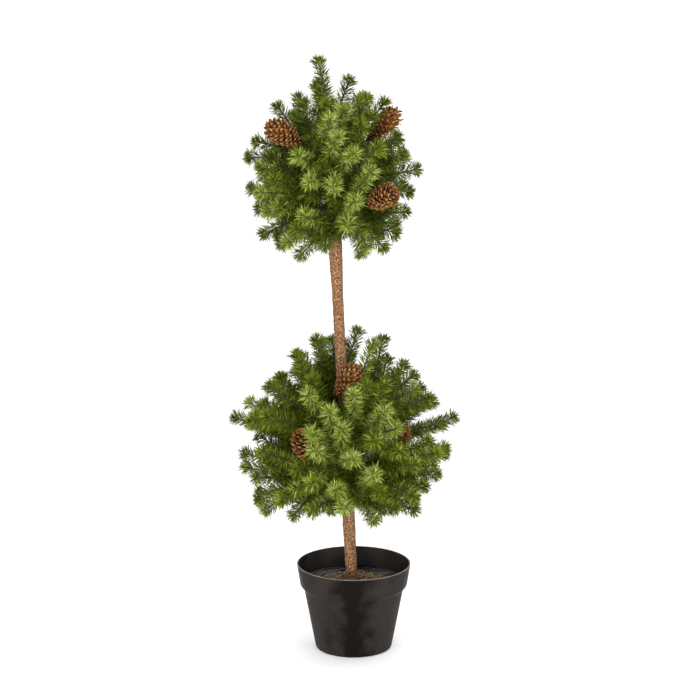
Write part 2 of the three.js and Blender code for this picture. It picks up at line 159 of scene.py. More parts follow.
# Finer detail of this scene: needles, cone scales, bark grain, the pot's edges, plug, film and granules
NEEDLE = {
    "per_mm": 4.6,
    "first": 0.18,
    "length": 18.5,
    "spread": 0.16,
    "width": 1.3,
    "thickness": 0.6,
    "widest": 0.5,
    "bow": 1.2,
    "tip_bow": 0.4,
    "root_sweep": 64,
    "tip_sweep": 44,
    "sweep_power": 4,
    "sweep_spread": 8,
    "turn_spread": 25,
    "end_inset": 4,
}
TUFT = {"count": 64, "run": 4, "length": 20.5, "sweeps": (78, 14), "shorter": 0.35}
INFILL = [
    {
        "sprays": 180,
        "turn": 60,
        "reach": 0.78,
        "lowest": -75,
        "tip_room": 26,
        "cone_room": 5,
        "density": 0.75,
    },
    {
        "sprays": 120,
        "turn": 25,
        "reach": 0.6,
        "lowest": -66,
        "tip_room": 22,
        "cone_room": 4,
        "density": 0.6,
    },
]
STEM_NEEDLES = {"per_mm": 2.6, "length": 19, "sweep": 64}
NEEDLE_ROOM = {
    "tested_at": (0.35, 0.7, 1.0),
    "trunk": 1.0,
    "trunk_top": 1,
    "cone_ends": 0.05,
    "stalk": 0.5,
}
SCALE = {
    "count": 116,
    "ends": (0.1, 1.05),
    "closing": (0.94, 0.42),
    "width": 8.2,
    "thickness": 1.2,
    "root": 0.4,
    "proud": 1.0,
    "least_width": 0.35,
    "curl": 1.0,
    "lifts": (28, 62),
    "seed": 5,
    "lift_spread": 5,
    "turn_spread": 5,
    "size_spread": 0.05,
}
BOSS = {
    "rim": [(-0.49, 0.84), (0, 0.74), (0.49, 0.84), (0, 1.07)],
    "peak": (0, 0.93),
    "sunk": 1.1,
    "rise": 0.7,
}
HEART = {"end": 0.86, "share": 0.66, "rings": 9, "sides": 18}
GRAIN = {
    "pitch": 1.4,
    "sides": 44,
    "fine": 1.0,
    "coarse": 0.3,
    "blurs": 3,
    "limits": (-1.2, 1.0),
    "sunk": 0.2,
    "seed": 11,
}
FOOT = {"recess": 0.8, "ring": (12, 11, 1), "swell": 0.4, "swell_rise": 1.5}
RIM = {"inset": 0.2, "depth": 3}
ROUNDS = {"lip": 0.9, "collar_foot": 2.2, "body_top": 1.6, "base": 3.5}
SHARP_EDGE = 40
LIP = {"proud": 0.05, "depth": 1.0, "bevel": 0.5}
PLUG = {"slack": 0.4, "edge_inset": 2, "edge_drop": 1.5}
FILM = {
    "inset": 0.6,
    "inner": 47.0,
    "steps": 34,
    "ridges": 4,
    "ridge_rise": 1.8,
    "ridge_power": 4,
    "slope": 0.9,
    "wrinkle": 0.35,
    "blurs": 4,
    "sunk": 0.4,
    "thickness": 0.8,
    "seed": 5,
}
GRANULE = {
    "count": 1400,
    "reach": 52,
    "inner": 0.02,
    "sizes": (0.9, 1.9),
    "stretch": (0.7, 1.1),
    "proud": 0.2,
    "seed": 23,
}

# Needle tints, each from a dark to a light shade, and the share of each tint in a spray of each mix; set
# sprays facing the sight take the light mix as painted light and the others the dark mix as painted shade,
# and the inner mix is painted shade deep in a ball
TINTS = {
    "shade": ((0.014, 0.021, 0.001), (0.040, 0.056, 0.002)),
    "deep": ((0.050, 0.071, 0.002), (0.110, 0.146, 0.006)),
    "leaf": ((0.110, 0.147, 0.005), (0.210, 0.264, 0.020)),
    "pale": ((0.210, 0.262, 0.038), (0.410, 0.480, 0.150)),
}
MIXES = {
    "dark": (0.35, 0.45, 0.20, 0.0),
    "middle": (0.20, 0.35, 0.35, 0.10),
    "light": (0.10, 0.20, 0.30, 0.40),
    # The inner mix, mostly the shade tint, is painted shade for needles deep in a ball
    "inner": (0.62, 0.34, 0.04, 0.0),
}
SPREAD_MIXES = {"dark": 0.4, "middle": 0.4, "light": 0.2}
# How far toward the sight a set spray must stand to take the light mix as painted light; the rest take the
# dark mix as painted shade
PAINTED_LIGHT_DEPTH = 0.6

# Camera fitted to the ellipses of the pot in the photograph
CAMERA_PLACE = (-5.7, -3084.0, 1110.0)
CAMERA_PITCH = 11.74
CAMERA_FOCUS_PIXELS = 2085.0
IMAGE_PIXELS = 700
SENSOR = 36.0

# The floor in metres: half its width and the height of its turned-up edge
FLOOR = {"half": 30.0, "edge": 1.3}

# Light: the room's strength, two suns by azimuth, elevation, spread and strength, and a pair of softboxes
ROOM_LIGHT = 0.75
SUNS = {"key": (-97, 12, 40, 2.4), "fill": (75, 70, 80, 1.6)}
SOFTBOX_PLACES = {"left": (-1.6, -1.7, 0.3), "right": (1.6, -1.7, 0.3)}
SOFTBOX = {"target": (0, 0, 0.2), "size": 0.7, "power": 36}


def seeded(seed):
    """Numbers from -1 to 1, the same as the part's source draws."""
    modulus, factor = 2147483647, 16807
    state = (seed * 7919 + 104729) % modulus

    def swing():
        nonlocal state
        state = state * factor % modulus
        return 2 * state / modulus - 1

    return swing


def lerp(a, b, t):
    return a + (b - a) * t


def unit(vectors):
    return vectors / np.linalg.norm(vectors, axis=-1, keepdims=True)


def toward(azimuth, elevation):
    """The unit vector at an azimuth and elevation in degrees."""
    a, e = math.radians(azimuth), math.radians(elevation)
    return np.array([math.cos(e) * math.cos(a), math.cos(e) * math.sin(a), math.sin(e)])


def square_to(directions):
    """Two unit vectors square to each direction and to each other."""
    helper = np.where(np.abs(directions[..., 1:2]) < 0.9, [0.0, 1.0, 0.0], [1.0, 0.0, 0.0])
    side = unit(np.cross(helper, directions))
    return side, np.cross(directions, side)


def trunk_at(z):
    """Points on the trunk's axis at some heights."""
    z = np.asarray(z, float)
    x = TRUNK_FOOT[0] - (z - TRUNK_FOOT[2]) * TRUNK_LEAN
    return np.stack([x, np.full_like(z, TRUNK_FOOT[1]), z], axis=-1)


def trunk_radius(z):
    return np.interp(z, TRUNK_HEIGHTS, TRUNK_RADII)


TRUNK_AXIS = unit(trunk_at(1) - trunk_at(0))
TRUNK_LINE = (trunk_at(TRUNK_HEIGHTS[0]), trunk_at(TRUNK_HEIGHTS[-1]))


def point_distance(points, starts, ends):
    """Distance of every point to every straight segment."""
    run = ends - starts
    offset = points[:, None, :] - starts[None]
    share = np.clip((offset * run).sum(-1) / (run * run).sum(-1), 0, 1)
    return np.linalg.norm(offset - share[..., None] * run, axis=-1)


def segment_distance(a, b, c, d):
    """The least distance between two straight segments."""
    u, v, w = b - a, d - c, a - c
    uu, uv, vv, uw, vw = u @ u, u @ v, v @ v, u @ w, v @ w
    bottom = uu * vv - uv * uv
    s = np.clip((uv * vw - vv * uw) / bottom, 0, 1) if bottom > 1e-9 else 0
    t = np.clip((uv * s + vw) / vv, 0, 1)
    s = np.clip((uv * t - uw) / uu, 0, 1)
    return np.linalg.norm(a + s * u - c - t * v)


def leave_trunk(z, direction, radius):
    """Where a limb of some radius leaves the trunk, clear of its surface."""
    flat = unit(direction * [1, 1, 0])
    return trunk_at(z) + flat * (trunk_radius(z) + GAP + radius * abs(direction[2]))


def stems_of(ball):
    """The stems of a ball, each with the way that it aims."""
    sizes = ball["stems"]
    low, high = (math.sin(math.radians(e)) for e in ball["elevations"])
    stems = []
    for i in range(sizes["count"]):
        share = i / (sizes["count"] - 1)
        azimuth = ball["turn"] + i * GOLDEN
        direction = toward(azimuth, lerp(*sizes["rises"], share))
        root = leave_trunk(lerp(*sizes["roots"], share), direction, STEM["root_radius"])
        level = math.degrees(math.asin(lerp(low, high, (i + 0.5) / sizes["count"])))
        fork = root + direction * sizes["length"]
        stems.append({"root": root, "fork": fork, "aim": toward(azimuth, level)})
    if ball["crowned"]:
        root = trunk_at(TRUNK_HEIGHTS[-1] + GAP)
        stems.append({"root": root, "fork": root + TRUNK_AXIS * CROWN["stem"], "aim": UP})
    return stems


def leader_of(crown):
    """The spray that overtops the upper ball, with the dark mix as painted shade like the outline sprays."""
    root = lerp(crown["root"], crown["fork"], CROWN["leader_root"])
    tip, bend = np.array(CROWN["leader_tip"], float), np.array(CROWN["leader_bend"], float)
    # The leader's dark mix is painted shade, as on the outline sprays
    return {"stem": crown, "root": root, "tip": tip, "bend": bend, "mix": "dark"}


def stem_toward(stems, direction):
    """The stem that aims nearest to a direction."""
    return max(stems, key=lambda one: one["aim"] @ direction)


def set_sprays(ball, stems):
    """The set sprays of a ball, on the side of the ball that the sight meets first; those that face the sight
    take the light mix as painted light, the rest the dark mix as painted shade.
    """
    swing = seeded(ball["seed"] + SEED_STEP["roots"])
    near = toward(-90, ball["sight"])
    high = toward(90, 90 - ball["sight"])
    sprays = []
    for across, up in ball["set"]:
        depth = math.sqrt(max(0, ball["reach"] ** 2 - across**2 - up**2))
        shift = np.array([across, 0, 0]) + high * up + near * depth
        stem = stem_toward(stems, unit(shift))
        root = lerp(stem["root"], stem["fork"], TWIG["root_share"] + TWIG["root_spread"] * swing())
        tip = trunk_at(ball["centre"]) + shift
        # Painted light and shade: set sprays facing the sight get the light mix, those round the outline the
        # dark mix
        mix = "light" if depth > PAINTED_LIGHT_DEPTH * ball["reach"] else "dark"
        sprays.append({"stem": stem, "root": root, "tip": tip, "bend": np.zeros(3), "mix": mix})
    return sprays


def spread_sprays(ball, stems):
    """The other sprays, over a ball's outline by the golden angle, each from the stem that aims nearest."""
    swing = seeded(ball["seed"])
    low, high = (math.sin(math.radians(e)) for e in ball["elevations"])
    sprays = []
    for i in range(ball["sprays"]):
        level = math.degrees(math.asin(lerp(low, high, (i + 0.5) / ball["sprays"])))
        elevation = level + JITTER["degrees"] * swing()
        azimuth = ball["turn"] + i * GOLDEN + JITTER["degrees"] * swing() / math.cos(math.radians(level))
        dip = ball["shoulder"] * math.sin(2 * math.radians(level)) ** 2 if level > 0 else 0
        reach = ball["reach"] * (1 - dip) * (1 + JITTER["reach"] * swing())
        direction = toward(azimuth, elevation)
        stem = stem_toward(stems, direction)
        tip = trunk_at(ball["centre"]) + direction * reach
        rise = ball["tall"] * reach * direction[2]
        tip[2] = max(ball["centre"] + rise, ball["flat"] + JITTER["bend"] * swing())
        root = lerp(stem["root"], stem["fork"], TWIG["root_share"] + TWIG["root_spread"] * swing())
        bend = toward(azimuth + 90, 0) * JITTER["bend"] * swing()
        bend[2] = JITTER["lift"] * swing()
        sprays.append({"stem": stem, "root": root, "tip": tip, "bend": bend})
    return sprays


def sprays_of(ball, stems):
    """Every spray of a ball, with none of the spread ones near the tip of a set one."""
    leader = [leader_of(stems[-1])] if ball["crowned"] else []
    fixed = set_sprays(ball, stems)
    tips = np.array([spray["tip"] for spray in fixed])
    spread = [
        spray
        for spray in spread_sprays(ball, stems)
        if np.linalg.norm(tips - spray["tip"], axis=1).min() > TIP_ROOM
    ]
    return leader + fixed + spread


def twig_at(spray, t):
    """Points on a spray's twig at some shares of its length."""
    t = np.asarray(t, float)[..., None]
    return lerp(spray["root"], spray["tip"], t) + spray["bend"] * 4 * t * (1 - t)


def twig_run(spray, t):
    """The way a spray's twig runs at some shares of its length."""
    t = np.asarray(t, float)[..., None]
    return unit(spray["tip"] - spray["root"] + spray["bend"] * 4 * (1 - 2 * t))


def cone_limbs(ball, cone, stems):
    """A cone's foot and tip, and a stalk that leaves the trunk at the nearest height clear of every stem."""
    centre = trunk_at(ball["centre"])
    foot, tip = centre + cone[0], centre + cone[1]
    room = STEM["root_radius"] + CONE["stalk_radius"] + CONE["stalk_room"]
    for step in range(2 * CONE["stalk_search"]):
        shift = math.ceil(step / 2) * (1 if step % 2 else -1)
        height = lerp(centre[2], foot[2], CONE["stalk_share"]) + shift
        root = leave_trunk(height, unit(foot - trunk_at(height)), CONE["stalk_radius"])
        if all(segment_distance(root, foot, stem["root"], stem["fork"]) > room for stem in stems):
            return {"root": root, "foot": foot, "tip": tip}
    raise ValueError(f"no clear stalk for the cone at {cone[0]}")


def keeps_clear(start, end, radius, cones):
    """Whether a straight twig keeps clear of the trunk, the cones and their stalks."""
    if segment_distance(start, end, *TRUNK_LINE) < trunk_radius(min(start[2], end[2])) + radius + GAP:
        return False
    cone_room = CONE["radius"] + CONE["scale_rise"] + radius + GAP
    stalk_room = CONE["stalk_radius"] + radius + GAP
    return all(
        segment_distance(start, end, cone["foot"], cone["tip"]) > cone_room
        and segment_distance(start, end, cone["root"], cone["foot"]) > stalk_room
        for cone in cones
    )


def that_fit(sprays, stems, cones):
    """The sprays clear of the trunk and cones, of other masses' stems and of the sprays before them."""
    kept = []
    for spray in sprays:
        path = twig_at(spray, np.arange(TWIG["spans"] + 1) / TWIG["spans"])
        others = [(stem["root"], stem["fork"]) for stem in stems if stem is not spray["stem"]]
        for rival in kept:
            if rival["stem"] is not spray["stem"]:
                others.extend(zip(rival["path"], rival["path"][1:]))
        starts, ends = (np.array(points) for points in zip(*others))
        girth = TWIG["root_radius"] + TWIG["room"]
        clear = all(keeps_clear(a, b, girth, cones) for a, b in zip(path, path[1:]))
        if clear and point_distance(path, starts, ends).min() > TWIG["spacing"]:
            kept.append({**spray, "path": path})
    return kept


def infill_sprays(ball, stems, cones, kept):
    """Shorter sprays, in layers, in the gaps that the kept ones leave, by the same rule, each with the inner
    mix as painted shade deep in the ball.
    """
    tips = [spray["tip"] for spray in kept]
    added = []
    for step, layer in enumerate(INFILL):
        shorter = {
            **ball,
            "sprays": layer["sprays"],
            "seed": ball["seed"] + SEED_STEP["infill"] + step,
            "turn": ball["turn"] + layer["turn"],
            "reach": layer["reach"] * ball["reach"],
            "elevations": (layer["lowest"], ball["elevations"][1]),
        }
        for spray in spread_sprays(shorter, stems):
            path = twig_at(spray, np.arange(TWIG["spans"] + 1) / TWIG["spans"])
            room = np.linalg.norm(np.array(tips) - spray["tip"], axis=1).min()
            girth = TWIG["root_radius"] + layer["cone_room"]
            clear = all(keeps_clear(a, b, girth, cones) for a, b in zip(path, path[1:]))
            if clear and room > layer["tip_room"]:
                # Painted shade: infill sprays deep in the ball take the inner mix
                added.append({**spray, "mix": "inner", "density": layer["density"]})
                tips.append(spray["tip"])
    return added


def join(parts):
    """One list of points and one of triangles from several."""
    offsets = np.cumsum([0] + [len(points) for points, _ in parts[:-1]])
    points = np.concatenate([points for points, _ in parts])
    faces = np.concatenate([faces + offset for (_, faces), offset in zip(parts, offsets)])
    return points, faces


def grid_faces(rows, columns):
    """Triangles between rows of points that close round, facing out where rows rise and columns turn left."""
    row, column = np.meshgrid(np.arange(rows - 1), np.arange(columns), indexing="ij")
    a = (row * columns + column).ravel()
    b = (row * columns + (column + 1) % columns).ravel()
    c, d = a + columns, b + columns
    return np.concatenate([np.stack([a, b, d], 1), np.stack([a, d, c], 1)])


def capped(rings):
    """A closed skin over rings of points, with each end closed to its middle."""
    rows, columns = rings.shape[:2]
    points = np.concatenate([rings.reshape(-1, 3), rings[0].mean(0)[None], rings[-1].mean(0)[None]])
    first, last = rows * columns, rows * columns + 1
    here = np.arange(columns)
    ahead = (here + 1) % columns
    top = (rows - 1) * columns
    foot_cap = np.stack([ahead, here, np.full(columns, first)], 1)
    top_cap = np.stack([top + here, top + ahead, np.full(columns, last)], 1)
    return points, np.concatenate([grid_faces(rows, columns), foot_cap, top_cap])


def closed_ring(rings):
    """A closed skin over rings of points whose last ring meets the first."""
    rows, columns = rings.shape[:2]
    faces = grid_faces(rows + 1, columns) % (rows * columns)
    return rings.reshape(-1, 3), faces


def flat_circle(sides):
    """Points round a level circle of radius one."""
    angles = np.arange(sides) * 2 * math.pi / sides
    return np.stack([np.cos(angles), np.sin(angles), np.zeros(sides)], 1)


def tube(path, radii, sides):
    """A closed round limb along a path."""
    runs = unit(np.gradient(path, axis=0))
    side, other = square_to(runs)
    angles = np.arange(sides) * 2 * math.pi / sides
    circle = np.cos(angles)[None, :, None] * side[:, None] + np.sin(angles)[None, :, None] * other[:, None]
    return capped(path[:, None] + circle * np.asarray(radii, float)[:, None, None])


def turned(profile, sides):
    """A skin turned round Z from radii and heights that start and end on the axis."""
    circle = flat_circle(sides)
    rings = np.array([circle * radius + UP * height for radius, height in profile[1:-1]])
    points, faces = capped(rings)
    points[-2:] = [UP * profile[0][1], UP * profile[-1][1]]
    return points, faces


def rounded(profile, at, radius, steps=6):
    """A profile with its corner at one index rounded off."""
    before, corner, after = (np.array(profile[k], float) for k in (at - 1, at, at + 1))
    start = corner + unit(before - corner) * radius
    end = corner + unit(after - corner) * radius
    arc = []
    for t in np.linspace(0, 1, steps):
        arc.append(tuple((1 - t) ** 2 * start + 2 * t * (1 - t) * corner + t * t * end))
    return profile[:at] + arc + profile[at + 1:]


def needle_mesh(base, direction, length, rng):
    """Thin closed needles, three-sided, pointed at both ends and a little bowed."""
    count = len(base)
    side, other = square_to(direction)
    turn = rng.uniform(0, 2 * math.pi, (count, 1))
    across = np.cos(turn) * side + np.sin(turn) * other
    outward = np.cross(direction, across)
    bow = outward * rng.normal(0, NEEDLE["bow"], (count, 1))
    middle = base + direction * (NEEDLE["widest"] * length[:, None]) + bow
    tip = base + direction * length[:, None] + NEEDLE["tip_bow"] * bow
    half, thick = 0.5 * NEEDLE["width"], NEEDLE["thickness"]
    corners = [base, middle - half * across, middle + half * across, middle + thick * outward, tip]
    points = np.stack(corners, axis=1).reshape(-1, 3)
    pattern = []
    for a, b in ((1, 2), (2, 3), (3, 1)):
        pattern += [(0, b, a), (a, b, 4)]
    faces = np.arange(count)[:, None, None] * len(corners) + np.array(pattern)[None]
    return points, faces.reshape(-1, 3)


def cone_width(t):
    """The width of a cone at a share of its length, as a share of its widest."""
    return np.sin(np.pi * lerp(*CONE["widths"], (1 - np.clip(t, 0, 1)) ** CONE["swell"]))


def clear_of_cones(points, cones):
    """Which points lie outside every cone and its stalk."""
    clear = np.ones(len(points), bool)
    for cone in cones:
        run = cone["tip"] - cone["foot"]
        share = (points - cone["foot"]) @ run / (run @ run)
        away = np.linalg.norm(points - cone["foot"] - share[:, None] * run, axis=1)
        room = CONE["radius"] * cone_width(share) + CONE["scale_rise"]
        beyond = (share < -NEEDLE_ROOM["cone_ends"]) | (share > 1 + NEEDLE_ROOM["cone_ends"])
        clear &= (away > room) | beyond
        stalk = point_distance(points, cone["root"][None], cone["foot"][None])[:, 0]
        clear &= stalk > CONE["stalk_radius"] + NEEDLE_ROOM["stalk"]
    return clear


def that_clear(base, direction, length, cones):
    """Which needles touch neither the trunk nor a cone."""
    clear = np.ones(len(base), bool)
    top = TRUNK_HEIGHTS[-1] + NEEDLE_ROOM["trunk_top"]
    for share in NEEDLE_ROOM["tested_at"]:
        points = base + direction * (share * length[:, None])
        clear &= clear_of_cones(points, cones)
        axis = trunk_at(points[:, 2])
        away = np.linalg.norm((points - axis)[:, :2], axis=1)
        clear &= (away > trunk_radius(points[:, 2]) + NEEDLE_ROOM["trunk"]) | (points[:, 2] > top)
    return clear


def swept(run, sweep, turn):
    """Directions that lean off a twig by the sweep, in radians, at a turn round it."""
    side, other = square_to(run)
    out = np.cos(turn)[:, None] * side + np.sin(turn)[:, None] * other
    return np.cos(sweep)[:, None] * run + np.sin(sweep)[:, None] * out


def spray_needles(spray, cones, rng):
    """The needles of one spray, with a tuft at its tip: their bases, directions and lengths."""
    reach = np.linalg.norm(spray["tip"] - spray["root"])
    last = 1 - NEEDLE["end_inset"] / reach
    density = spray.get("density", 1)
    count = int(reach * (last - NEEDLE["first"]) * NEEDLE["per_mm"] * density)
    share = (np.arange(count) + 0.5) / count
    tuft_count = int(TUFT["count"] * density)
    tuft_share = (np.arange(tuft_count) + 0.5) / tuft_count
    tuft_lean = np.degrees(np.arccos(lerp(*np.cos(np.radians(TUFT["sweeps"])), tuft_share)))
    t = np.append(lerp(NEEDLE["first"], last, share), 1 - TUFT["run"] / reach * (1 - tuft_share))
    sweeps = lerp(NEEDLE["root_sweep"], NEEDLE["tip_sweep"], share ** NEEDLE["sweep_power"])
    lean = np.append(sweeps, tuft_lean)
    tuft_length = TUFT["length"] * (1 - TUFT["shorter"] * tuft_share)
    full = np.append(np.full(count, NEEDLE["length"]), tuft_length)
    base, run = twig_at(spray, t), twig_run(spray, t)
    sweep = np.radians(lean + rng.normal(0, NEEDLE["sweep_spread"], len(t)))
    turn_spread = rng.uniform(-NEEDLE["turn_spread"], NEEDLE["turn_spread"], len(t))
    turn = np.radians(np.arange(len(t)) * GOLDEN + turn_spread)
    direction = swept(run, sweep, turn)
    length = full * (1 + NEEDLE["spread"] * rng.uniform(-1, 1, len(t)))
    keep = that_clear(base, direction, length, cones)
    return base[keep], direction[keep], length[keep]


def stem_needles(stem, cones, rng):
    """Short needles along a stem, which close the ball round the trunk."""
    run = stem["fork"] - stem["root"]
    count = int(np.linalg.norm(run) * STEM_NEEDLES["per_mm"])
    share = (np.arange(count) + 0.5) / count
    base = stem["root"] + share[:, None] * run
    turn = np.radians(np.arange(count) * GOLDEN)
    sweep = np.radians(STEM_NEEDLES["sweep"] + rng.normal(0, NEEDLE["sweep_spread"], count))
    direction = swept(np.broadcast_to(unit(run), base.shape), sweep, turn)
    length = STEM_NEEDLES["length"] * (1 + NEEDLE["spread"] * rng.uniform(-1, 1, count))
    keep = that_clear(base, direction, length, cones)
    return base[keep], direction[keep], length[keep]


def twig_mesh(stems, sprays):
    """Every stem and twig of a ball."""
    parts = []
    for stem in stems:
        path = lerp(stem["root"], stem["fork"], np.linspace(0, 1, STEM["rings"])[:, None])
        radii = np.linspace(STEM["root_radius"], STEM["fork_radius"], STEM["rings"])
        parts.append(tube(path, radii, STEM["sides"]))
    for spray in sprays:
        path = twig_at(spray, np.linspace(0, 1, TWIG["rings"]))
        radii = np.linspace(TWIG["root_radius"], TWIG["tip_radius"], TWIG["rings"])
        parts.append(tube(path, radii, TWIG["sides"]))
    return join(parts)


def scale_frames(cone):
    """The places and directions of a cone's scales, up its axis by the golden angle."""
    run = cone["tip"] - cone["foot"]
    tall = np.linalg.norm(run)
    axis = run / tall
    side, other = square_to(axis)
    share = (np.arange(SCALE["count"]) + 0.5) / SCALE["count"]
    rng = np.random.default_rng(SCALE["seed"])
    turn_spread, lift_spread, size_spread = rng.normal(0, 1, (3, SCALE["count"]))
    turn = np.radians(np.arange(SCALE["count"]) * GOLDEN + SCALE["turn_spread"] * turn_spread)[:, None]
    out = np.cos(turn) * side + np.sin(turn) * other
    end_share = lerp(*SCALE["ends"], share)
    closing = np.interp(end_share, [SCALE["closing"][0], SCALE["ends"][1]], [1, SCALE["closing"][1]])
    size = 1 + SCALE["size_spread"] * np.clip(size_spread, -1, 1)
    end_radius = (CONE["radius"] * cone_width(end_share) + SCALE["proud"]) * closing * size
    lift = np.radians(lerp(*SCALE["lifts"], share) + SCALE["lift_spread"] * lift_spread)
    length = end_radius * (1 - SCALE["root"]) / np.cos(lift)
    along = np.cos(lift)[:, None] * out + np.sin(lift)[:, None] * axis
    end = cone["foot"] + axis * (end_share * tall)[:, None] + out * end_radius[:, None]
    across = np.cross(axis, out)
    width = SCALE["width"] * np.clip(end_radius / CONE["radius"], SCALE["least_width"], 1)
    return {
        "root": end - along * length[:, None],
        "across": across * width[:, None],
        "along": along * length[:, None],
        "out": np.cross(across, along),
    }


def placed(template, faces, frames):
    """Copies of a template in every scale's frame: across, along, and out in millimetres."""
    points = frames["root"][:, None] + template[None, :, 0:1] * frames["across"][:, None]
    points = points + template[None, :, 1:2] * frames["along"][:, None]
    points = points + template[None, :, 2:3] * frames["out"][:, None]
    count = len(points)
    copies = np.arange(count)[:, None, None] * len(template) + np.array(faces)[None]
    return points.reshape(-1, 3), copies.reshape(-1, 3)


def scale_template():
    """A woody scale: a plate that widens to a blunt end and curls out there."""
    half = [(0.22, 0.0), (0.42, 0.5), (0.5, 0.78), (0.3, 0.95)]
    outline = [(-u, v) for u, v in half] + [(0, 1.02)] + [(u, v) for u, v in reversed(half)]
    rows = []
    for level in (-1, 1):
        for u, v in outline:
            rows.append((u, v, 0.5 * level * SCALE["thickness"] + SCALE["curl"] * v * v))
    count = len(outline)
    faces = [(0, k, k + 1) for k in range(1, count - 1)]
    faces += [(count, count + k + 1, count + k) for k in range(1, count - 1)]
    for k in range(count):
        ahead = (k + 1) % count
        faces += [(k, count + k, count + ahead), (k, count + ahead, ahead)]
    return np.array(rows), faces


def boss_template():
    """The paler boss on a scale's outer end: a low pyramid with its foot sunk in the scale."""
    top = SCALE["curl"] + 0.5 * SCALE["thickness"]
    rows = [(u, v, top - BOSS["sunk"]) for u, v in BOSS["rim"]]
    rows.append((*BOSS["peak"], top + BOSS["rise"]))
    faces = [(0, 2, 1), (0, 3, 2)]
    for k in range(4):
        faces.append((k, (k + 1) % 4, 4))
    return np.array(rows), faces


def cone_core(cone):
    """The heart of a cone, between its scales, with its wire stalk, coloured near-black as painted shade
    between the scales.
    """
    share = np.linspace(0, HEART["end"], HEART["rings"])
    path = lerp(cone["foot"], cone["tip"], share[:, None])
    heart = tube(path, HEART["share"] * CONE["radius"] * cone_width(share), HEART["sides"])
    run = unit(cone["foot"] - cone["root"])
    steps = np.linspace(0, 1, CONE["stalk_rings"])[:, None]
    stalk_path = lerp(cone["root"], cone["foot"] + CONE["stalk_sunk"] * run, steps)
    stalk_radii = np.full(CONE["stalk_rings"], CONE["stalk_radius"])
    return join([heart, tube(stalk_path, stalk_radii, CONE["stalk_sides"])])


def smoothed(field, times):
    """A field of random numbers blurred along its rows and round its columns."""
    for _ in range(times):
        field = (field + np.roll(field, 1, 1) + np.roll(field, -1, 1)) / 3
        padded = np.pad(field, ((1, 1), (0, 0)), mode="edge")
        field = (padded[:-2] + padded[1:-1] + padded[2:]) / 3
    return field / field.std()


def trunk_mesh():
    """The trunk with the relief of its coat of coarse grains."""
    rng = np.random.default_rng(GRAIN["seed"])
    heights = np.arange(TRUNK_HEIGHTS[0], TRUNK_HEIGHTS[-1], GRAIN["pitch"])
    shape = (len(heights), GRAIN["sides"])
    relief = GRAIN["fine"] * rng.uniform(-1, 1, shape) * 0.5
    relief = relief + 0.5 * GRAIN["coarse"] * smoothed(rng.normal(0, 1, shape), GRAIN["blurs"])
    relief = np.clip(relief, *GRAIN["limits"]) - GRAIN["sunk"]
    radius = trunk_radius(heights)[:, None] + relief
    circle = flat_circle(GRAIN["sides"])
    return capped(trunk_at(heights)[:, None] + circle[None] * radius[..., None])


def pot_mesh():
    """The pot's wall from the outside of its base, over the lip and down to the inside of its floor."""
    wall = POT["wall"]
    recess_edge, ring_inner, ring_outer = (POT["base_radius"] - inset for inset in FOOT["ring"])
    profile = [
        (0, FOOT["recess"]),
        (recess_edge, FOOT["recess"]),
        (ring_inner, 0),
        (ring_outer, 0),
        (POT["base_radius"] + FOOT["swell"], POT["base_round"] + FOOT["swell_rise"]),
        (POT["body_top_radius"], POT["body_top"]),
        (POT["collar_foot_radius"], POT["collar_foot"]),
        (POT["rim_radius"] - RIM["inset"], POT["height"] - RIM["depth"]),
        (POT["rim_radius"], POT["height"]),
        (POT["rim_radius"] - wall, POT["height"]),
        (POT["collar_foot_radius"] - wall, POT["collar_foot"]),
        (POT["body_top_radius"] - wall, POT["body_top"]),
        (POT["base_radius"] - wall, POT["base_round"] + POT["floor"]),
        (POT["base_radius"] - wall - POT["base_round"], POT["floor"]),
        (0, POT["floor"]),
    ]
    corners = ((9, "lip"), (8, "lip"), (6, "collar_foot"), (5, "body_top"), (3, "base"))
    for at, corner in corners:
        profile = rounded(profile, at, ROUNDS[corner])
    return turned(profile, POT["sides"])


def lip_mesh():
    """The face of the lip, a hair proud of the wall, which carries the lip's painted highlight."""
    inner, outer, top = POT["rim_radius"] - POT["wall"], POT["rim_radius"], POT["height"]
    depth, bevel = LIP["depth"], LIP["bevel"]
    outline = [
        (outer, -depth),
        (outer, -bevel),
        (outer - bevel, 0),
        (inner + bevel, 0),
        (inner, -bevel),
        (inner, -depth),
    ]
    circle = flat_circle(POT["sides"])
    rings = [circle * radius + UP * (top + rise + LIP["proud"]) for radius, rise in outline]
    return closed_ring(np.array(rings))


def fill_radius():
    """The radius of the fill at its level, clear of the pot's wall."""
    share = (FILL["level"] - POT["collar_foot"]) / (POT["height"] - POT["collar_foot"])
    return lerp(POT["collar_foot_radius"], POT["rim_radius"], share) - POT["wall"] - GAP - PLUG["slack"]


def fill_mesh():
    """The plug of the fill, heaped a little round the trunk."""
    clear = POT["wall"] + GAP + PLUG["slack"]
    profile = [
        (0, POT["floor"] + GAP),
        (POT["base_radius"] - clear - POT["base_round"], POT["floor"] + GAP),
        (POT["base_radius"] - clear, POT["base_round"] + POT["floor"] + GAP),
        (POT["body_top_radius"] - clear, POT["body_top"]),
        (POT["collar_foot_radius"] - clear, POT["collar_foot"]),
        (fill_radius() - PLUG["edge_inset"], FILL["level"] - PLUG["edge_drop"]),
        (FILL["heap_radius"], FILL["level"]),
        (FILL["pad_radius"], FILL["level"] + FILL["heap"]),
        (0, FILL["level"] + FILL["heap"]),
    ]
    return turned(profile, FILL["sides"])


